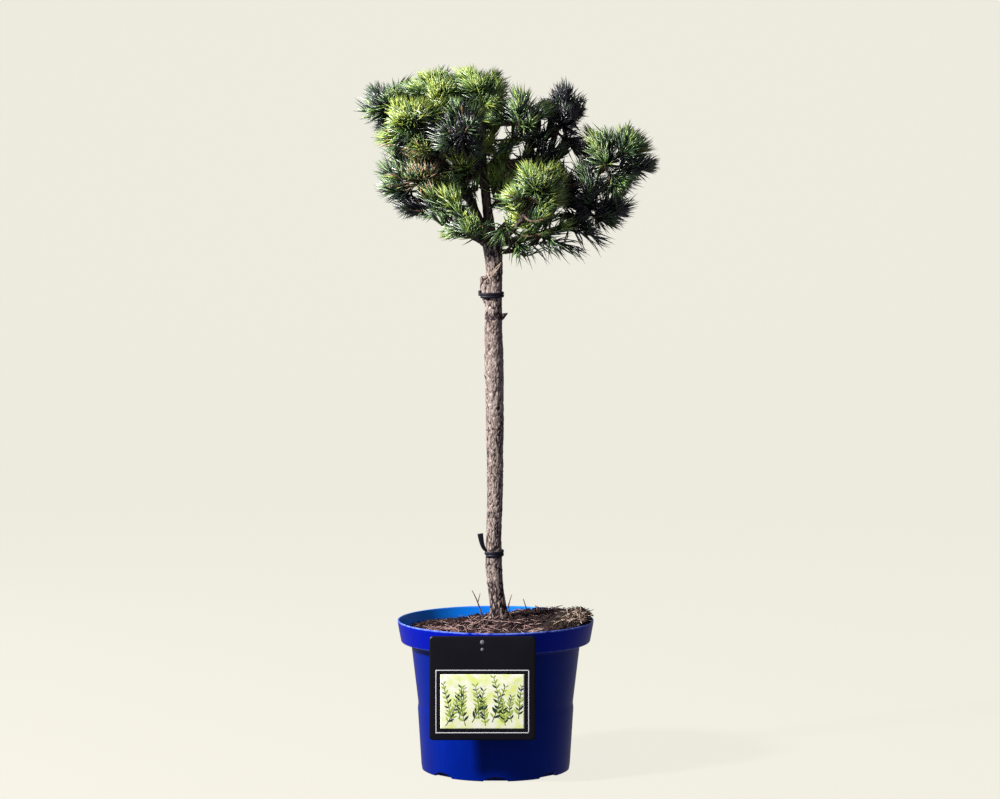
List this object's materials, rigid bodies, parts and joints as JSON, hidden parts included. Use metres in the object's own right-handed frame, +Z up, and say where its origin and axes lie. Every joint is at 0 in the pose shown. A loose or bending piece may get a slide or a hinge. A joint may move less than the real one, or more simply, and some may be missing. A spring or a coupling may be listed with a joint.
{
  "type": "mugo pine in nursery pot",
  "caption": "Dwarf mountain pine grafted high on a bare straight stem, with tufted needle masses, in a round plastic nursery pot with soil, strap ties and a plain label card",
  "frame": {"origin": "centre of the pot's flat underside, where the pot stands on the floor", "axes": "+Z up along the stem, +X to the viewer's right and -Y towards the viewer, facing the label card"},
  "size_m": [0.3328, 0.2327, 0.7903],
  "materials": {
    "pot": "smooth glossy royal blue moulded plastic",
    "soil": "dark brown moist compost with bark fibre and straw",
    "bark": "rough pinkish grey-brown bark with dark fissures",
    "tie": "dull black strap",
    "card": "satin black card with a plain printed panel of leaf shapes",
    "needles_gold": "bright yellow-green needles",
    "needles_green": "mid green needles",
    "needles_dark": "deep green needles"
  },
  "bodies": {
    "root": {"pot": "pot", "soil": "soil", "stem": "bark", "tie_lower": "tie", "tie_upper": "tie", "label_card": "card", "bough_top_left": "bark", "bough_top_mid": "bark", "bough_front_left": "bark", "bough_front_mid": "bark", "bough_far_left": "bark", "bough_low_left": "bark", "bough_under_left": "bark", "bough_inner_left": "bark", "bough_inner_right": "bark", "bough_mid_right": "bark", "bough_right_center": "bark", "bough_right_up": "bark", "bough_far_right": "bark", "bough_low_right": "bark", "bough_front_right": "bark", "bough_under_right": "bark", "bough_back_left": "bark", "bough_back_mid": "bark", "bough_back_low_left": "bark", "bough_back_right": "bark", "bough_back_low_right": "bark", "needles_top_left": "needles_gold", "needles_top_mid": "needles_gold", "needles_front_left": "needles_gold", "needles_front_mid": "needles_green", "needles_far_left": "needles_gold", "needles_low_left": "needles_green", "needles_under_left": "needles_green", "needles_inner_left": "needles_green", "needles_inner_right": "needles_green", "needles_mid_right": "needles_dark", "needles_right_center": "needles_green", "needles_right_up": "needles_dark", "needles_far_right": "needles_dark", "needles_low_right": "needles_dark", "needles_front_right": "needles_green", "needles_under_right": "needles_dark", "needles_back_left": "needles_green", "needles_back_mid": "needles_green", "needles_back_low_left": "needles_green", "needles_back_right": "needles_dark", "needles_back_low_right": "needles_green"}
  },
  "joints": []
}
